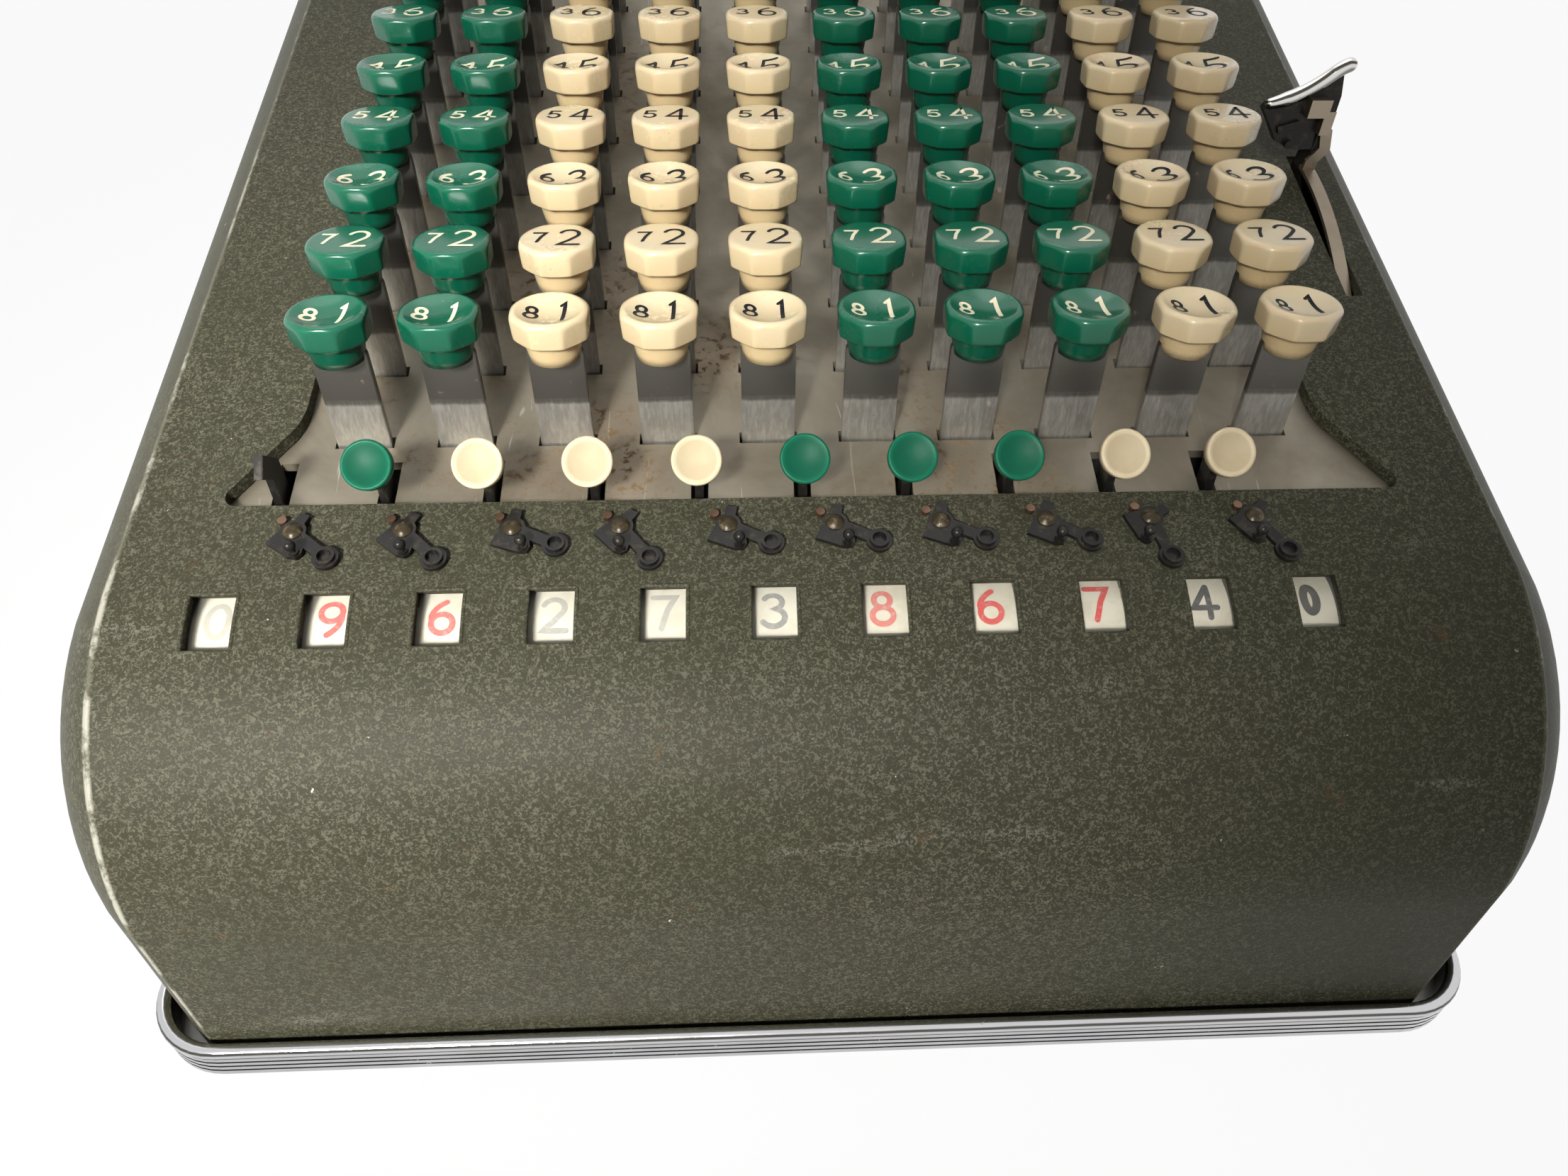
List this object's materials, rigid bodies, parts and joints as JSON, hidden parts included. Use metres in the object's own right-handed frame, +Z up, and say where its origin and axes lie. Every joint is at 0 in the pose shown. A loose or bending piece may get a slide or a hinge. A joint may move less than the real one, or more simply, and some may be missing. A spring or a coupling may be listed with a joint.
{
  "type": "mechanical calculator",
  "caption": "Key-driven adding machine with columns of dished keys, numeral wheels behind windows, decimal pointers, cutoff levers and a zeroing lever.",
  "frame": {"origin": "on the table under the middle of the machine", "axes": "+X to the operator's right, +Y to the back, +Z up"},
  "size_m": [0.28, 0.3638, 0.1812],
  "materials": {
    "housing_paint": "dark olive hammered paint with a fine metallic speckle",
    "clear_strip": "clear celluloid strip",
    "plate_steel": "bare steel with wear and a few rust spots",
    "inner_steel": "dull steel",
    "shaft_steel": "ground steel",
    "pan_paint": "dark paint",
    "band_bright": "bright ribbed moulding",
    "foot_rubber": "black rubber",
    "screw_steel": "steel",
    "black_steel": "black enamel on thin steel",
    "copper_pin": "coppery pins",
    "lever_black": "black paint",
    "bar_chrome": "polished",
    "strip_steel": "bright steel strip",
    "key_green": "deep green moulded key tops on steel stems",
    "key_cream": "cream moulded key tops on steel stems",
    "wheel_ivory": "ivory white"
  },
  "bodies": {
    "machine": {"top_cover": "housing_paint", "window_strip": "clear_strip", "key_plate": "plate_steel", "guide_plate": "inner_steel", "side_frames": "inner_steel", "cross_rods": "shaft_steel", "wheel_shaft": "shaft_steel", "cutoff_shaft": "shaft_steel", "base_pan": "pan_paint", "base_band": "band_bright", "feet": "foot_rubber", "cover_screws": "screw_steel", "pointer_rivets": "black_steel", "stop_pins": "copper_pin"},
    "zeroing_lever": {"zero_shaft": "shaft_steel", "zero_lever": "lever_black", "finger_bar": "bar_chrome", "slot_strip": "strip_steel"},
    "key_column_1": {"key_column_1": "key_green"},
    "key_column_2": {"key_column_2": "key_green"},
    "key_column_3": {"key_column_3": "key_cream"},
    "key_column_4": {"key_column_4": "key_cream"},
    "key_column_5": {"key_column_5": "key_cream"},
    "key_column_6": {"key_column_6": "key_green"},
    "key_column_7": {"key_column_7": "key_green"},
    "key_column_8": {"key_column_8": "key_green"},
    "key_column_9": {"key_column_9": "key_cream"},
    "key_column_10": {"key_column_10": "key_cream"},
    "numeral_wheel_1": {"numeral_wheel_1": "wheel_ivory"},
    "numeral_wheel_2": {"numeral_wheel_2": "wheel_ivory"},
    "numeral_wheel_3": {"numeral_wheel_3": "wheel_ivory"},
    "numeral_wheel_4": {"numeral_wheel_4": "wheel_ivory"},
    "numeral_wheel_5": {"numeral_wheel_5": "wheel_ivory"},
    "numeral_wheel_6": {"numeral_wheel_6": "wheel_ivory"},
    "numeral_wheel_7": {"numeral_wheel_7": "wheel_ivory"},
    "numeral_wheel_8": {"numeral_wheel_8": "wheel_ivory"},
    "numeral_wheel_9": {"numeral_wheel_9": "wheel_ivory"},
    "numeral_wheel_10": {"numeral_wheel_10": "wheel_ivory"},
    "numeral_wheel_11": {"numeral_wheel_11": "wheel_ivory"},
    "decimal_pointer_1": {"decimal_pointer_1": "black_steel"},
    "decimal_pointer_2": {"decimal_pointer_2": "black_steel"},
    "decimal_pointer_3": {"decimal_pointer_3": "black_steel"},
    "decimal_pointer_4": {"decimal_pointer_4": "black_steel"},
    "decimal_pointer_5": {"decimal_pointer_5": "black_steel"},
    "decimal_pointer_6": {"decimal_pointer_6": "black_steel"},
    "decimal_pointer_7": {"decimal_pointer_7": "black_steel"},
    "decimal_pointer_8": {"decimal_pointer_8": "black_steel"},
    "decimal_pointer_9": {"decimal_pointer_9": "black_steel"},
    "decimal_pointer_10": {"decimal_pointer_10": "black_steel"},
    "cutoff_lever_1": {"cutoff_lever_1": "lever_black"},
    "cutoff_lever_2": {"cutoff_lever_2": "key_green"},
    "cutoff_lever_3": {"cutoff_lever_3": "key_cream"},
    "cutoff_lever_4": {"cutoff_lever_4": "key_cream"},
    "cutoff_lever_5": {"cutoff_lever_5": "key_cream"},
    "cutoff_lever_6": {"cutoff_lever_6": "key_green"},
    "cutoff_lever_7": {"cutoff_lever_7": "key_green"},
    "cutoff_lever_8": {"cutoff_lever_8": "key_green"},
    "cutoff_lever_9": {"cutoff_lever_9": "key_cream"},
    "cutoff_lever_10": {"cutoff_lever_10": "key_cream"}
  },
  "joints": [
    {"name": "key_column_1_press", "type": "slide", "parent": "machine", "child": "key_column_1", "axis": [0, 0, -1], "range_m": [0, 0.01], "stiffness_N_per_m": 200, "springref_m": -0.01},
    {"name": "key_column_2_press", "type": "slide", "parent": "machine", "child": "key_column_2", "axis": [0, 0, -1], "range_m": [0, 0.01], "stiffness_N_per_m": 200, "springref_m": -0.01},
    {"name": "key_column_3_press", "type": "slide", "parent": "machine", "child": "key_column_3", "axis": [0, 0, -1], "range_m": [0, 0.01], "stiffness_N_per_m": 200, "springref_m": -0.01},
    {"name": "key_column_4_press", "type": "slide", "parent": "machine", "child": "key_column_4", "axis": [0, 0, -1], "range_m": [0, 0.01], "stiffness_N_per_m": 200, "springref_m": -0.01},
    {"name": "key_column_5_press", "type": "slide", "parent": "machine", "child": "key_column_5", "axis": [0, 0, -1], "range_m": [0, 0.01], "stiffness_N_per_m": 200, "springref_m": -0.01},
    {"name": "key_column_6_press", "type": "slide", "parent": "machine", "child": "key_column_6", "axis": [0, 0, -1], "range_m": [0, 0.01], "stiffness_N_per_m": 200, "springref_m": -0.01},
    {"name": "key_column_7_press", "type": "slide", "parent": "machine", "child": "key_column_7", "axis": [0, 0, -1], "range_m": [0, 0.01], "stiffness_N_per_m": 200, "springref_m": -0.01},
    {"name": "key_column_8_press", "type": "slide", "parent": "machine", "child": "key_column_8", "axis": [0, 0, -1], "range_m": [0, 0.01], "stiffness_N_per_m": 200, "springref_m": -0.01},
    {"name": "key_column_9_press", "type": "slide", "parent": "machine", "child": "key_column_9", "axis": [0, 0, -1], "range_m": [0, 0.01], "stiffness_N_per_m": 200, "springref_m": -0.01},
    {"name": "key_column_10_press", "type": "slide", "parent": "machine", "child": "key_column_10", "axis": [0, 0, -1], "range_m": [0, 0.01], "stiffness_N_per_m": 200, "springref_m": -0.01},
    {"name": "numeral_wheel_1_turn", "type": "hinge", "parent": "machine", "child": "numeral_wheel_1", "pos_m": [-0.10477, -0.1393, 0.08457], "axis": [1, 0, 0], "continuous": true},
    {"name": "numeral_wheel_2_turn", "type": "hinge", "parent": "machine", "child": "numeral_wheel_2", "pos_m": [-0.08572, -0.1393, 0.08457], "axis": [1, 0, 0], "continuous": true},
    {"name": "numeral_wheel_3_turn", "type": "hinge", "parent": "machine", "child": "numeral_wheel_3", "pos_m": [-0.06667, -0.1393, 0.08457], "axis": [1, 0, 0], "continuous": true},
    {"name": "numeral_wheel_4_turn", "type": "hinge", "parent": "machine", "child": "numeral_wheel_4", "pos_m": [-0.04763, -0.1393, 0.08457], "axis": [1, 0, 0], "continuous": true},
    {"name": "numeral_wheel_5_turn", "type": "hinge", "parent": "machine", "child": "numeral_wheel_5", "pos_m": [-0.02857, -0.1393, 0.08457], "axis": [1, 0, 0], "continuous": true},
    {"name": "numeral_wheel_6_turn", "type": "hinge", "parent": "machine", "child": "numeral_wheel_6", "pos_m": [-0.00953, -0.1393, 0.08457], "axis": [1, 0, 0], "continuous": true},
    {"name": "numeral_wheel_7_turn", "type": "hinge", "parent": "machine", "child": "numeral_wheel_7", "pos_m": [0.00953, -0.1393, 0.08457], "axis": [1, 0, 0], "continuous": true},
    {"name": "numeral_wheel_8_turn", "type": "hinge", "parent": "machine", "child": "numeral_wheel_8", "pos_m": [0.02857, -0.1393, 0.08457], "axis": [1, 0, 0], "continuous": true},
    {"name": "numeral_wheel_9_turn", "type": "hinge", "parent": "machine", "child": "numeral_wheel_9", "pos_m": [0.04763, -0.1393, 0.08457], "axis": [1, 0, 0], "continuous": true},
    {"name": "numeral_wheel_10_turn", "type": "hinge", "parent": "machine", "child": "numeral_wheel_10", "pos_m": [0.06667, -0.1393, 0.08457], "axis": [1, 0, 0], "continuous": true},
    {"name": "numeral_wheel_11_turn", "type": "hinge", "parent": "machine", "child": "numeral_wheel_11", "pos_m": [0.08572, -0.1393, 0.08457], "axis": [1, 0, 0], "continuous": true},
    {"name": "decimal_pointer_1_swing", "type": "hinge", "parent": "machine", "child": "decimal_pointer_1", "pos_m": [-0.09352, -0.1316, 0.10643], "axis": [0, -0.3011, 0.9536], "range_deg": [-38, 16]},
    {"name": "decimal_pointer_2_swing", "type": "hinge", "parent": "machine", "child": "decimal_pointer_2", "pos_m": [-0.07447, -0.1316, 0.10643], "axis": [0, -0.3011, 0.9536], "range_deg": [-33, 21]},
    {"name": "decimal_pointer_3_swing", "type": "hinge", "parent": "machine", "child": "decimal_pointer_3", "pos_m": [-0.05543, -0.1316, 0.10643], "axis": [0, -0.3011, 0.9536], "range_deg": [-53, 1]},
    {"name": "decimal_pointer_4_swing", "type": "hinge", "parent": "machine", "child": "decimal_pointer_4", "pos_m": [-0.03637, -0.1316, 0.10643], "axis": [0, -0.3011, 0.9536], "range_deg": [-26, 28]},
    {"name": "decimal_pointer_5_swing", "type": "hinge", "parent": "machine", "child": "decimal_pointer_5", "pos_m": [-0.01733, -0.1316, 0.10643], "axis": [0, -0.3011, 0.9536], "range_deg": [-50, 4]},
    {"name": "decimal_pointer_6_swing", "type": "hinge", "parent": "machine", "child": "decimal_pointer_6", "pos_m": [0.00172, -0.1316, 0.10643], "axis": [0, -0.3011, 0.9536], "range_deg": [-51, 3]},
    {"name": "decimal_pointer_7_swing", "type": "hinge", "parent": "machine", "child": "decimal_pointer_7", "pos_m": [0.02077, -0.1316, 0.10643], "axis": [0, -0.3011, 0.9536], "range_deg": [-51, 3]},
    {"name": "decimal_pointer_8_swing", "type": "hinge", "parent": "machine", "child": "decimal_pointer_8", "pos_m": [0.03982, -0.1316, 0.10643], "axis": [0, -0.3011, 0.9536], "range_deg": [-46, 8]},
    {"name": "decimal_pointer_9_swing", "type": "hinge", "parent": "machine", "child": "decimal_pointer_9", "pos_m": [0.05887, -0.1316, 0.10643], "axis": [0, -0.3011, 0.9536], "range_deg": [-2, 52]},
    {"name": "decimal_pointer_10_swing", "type": "hinge", "parent": "machine", "child": "decimal_pointer_10", "pos_m": [0.07792, -0.1316, 0.10643], "axis": [0, -0.3011, 0.9536], "range_deg": [-17, 37]},
    {"name": "cutoff_lever_1_push", "type": "hinge", "parent": "machine", "child": "cutoff_lever_1", "pos_m": [-0.09878, -0.1175, 0.0808], "axis": [-1, 0, 0], "range_deg": [0, 5], "stiffness_Nm_per_rad": 0.05, "springref_deg": -17.19},
    {"name": "cutoff_lever_2_push", "type": "hinge", "parent": "machine", "child": "cutoff_lever_2", "pos_m": [-0.07973, -0.1175, 0.0808], "axis": [-1, 0, 0], "range_deg": [0, 5], "stiffness_Nm_per_rad": 0.05, "springref_deg": -17.19},
    {"name": "cutoff_lever_3_push", "type": "hinge", "parent": "machine", "child": "cutoff_lever_3", "pos_m": [-0.06067, -0.1175, 0.0808], "axis": [-1, 0, 0], "range_deg": [0, 5], "stiffness_Nm_per_rad": 0.05, "springref_deg": -17.19},
    {"name": "cutoff_lever_4_push", "type": "hinge", "parent": "machine", "child": "cutoff_lever_4", "pos_m": [-0.04163, -0.1175, 0.0808], "axis": [-1, 0, 0], "range_deg": [0, 5], "stiffness_Nm_per_rad": 0.05, "springref_deg": -17.19},
    {"name": "cutoff_lever_5_push", "type": "hinge", "parent": "machine", "child": "cutoff_lever_5", "pos_m": [-0.02258, -0.1175, 0.0808], "axis": [-1, 0, 0], "range_deg": [0, 5], "stiffness_Nm_per_rad": 0.05, "springref_deg": -17.19},
    {"name": "cutoff_lever_6_push", "type": "hinge", "parent": "machine", "child": "cutoff_lever_6", "pos_m": [-0.00352, -0.1175, 0.0808], "axis": [-1, 0, 0], "range_deg": [0, 5], "stiffness_Nm_per_rad": 0.05, "springref_deg": -17.19},
    {"name": "cutoff_lever_7_push", "type": "hinge", "parent": "machine", "child": "cutoff_lever_7", "pos_m": [0.01553, -0.1175, 0.0808], "axis": [-1, 0, 0], "range_deg": [0, 5], "stiffness_Nm_per_rad": 0.05, "springref_deg": -17.19},
    {"name": "cutoff_lever_8_push", "type": "hinge", "parent": "machine", "child": "cutoff_lever_8", "pos_m": [0.03458, -0.1175, 0.0808], "axis": [-1, 0, 0], "range_deg": [0, 5], "stiffness_Nm_per_rad": 0.05, "springref_deg": -17.19},
    {"name": "cutoff_lever_9_push", "type": "hinge", "parent": "machine", "child": "cutoff_lever_9", "pos_m": [0.05362, -0.1175, 0.0808], "axis": [-1, 0, 0], "range_deg": [0, 5], "stiffness_Nm_per_rad": 0.05, "springref_deg": -17.19},
    {"name": "cutoff_lever_10_push", "type": "hinge", "parent": "machine", "child": "cutoff_lever_10", "pos_m": [0.07268, -0.1175, 0.0808], "axis": [-1, 0, 0], "range_deg": [0, 5], "stiffness_Nm_per_rad": 0.05, "springref_deg": -17.19},
    {"name": "zeroing_lever_pull", "type": "hinge", "parent": "machine", "child": "zeroing_lever", "pos_m": [0.1151, -0.0255, 0.061], "axis": [1, 0, 0], "range_deg": [0, 24], "stiffness_Nm_per_rad": 0.3, "springref_deg": -28.65}
  ]
}
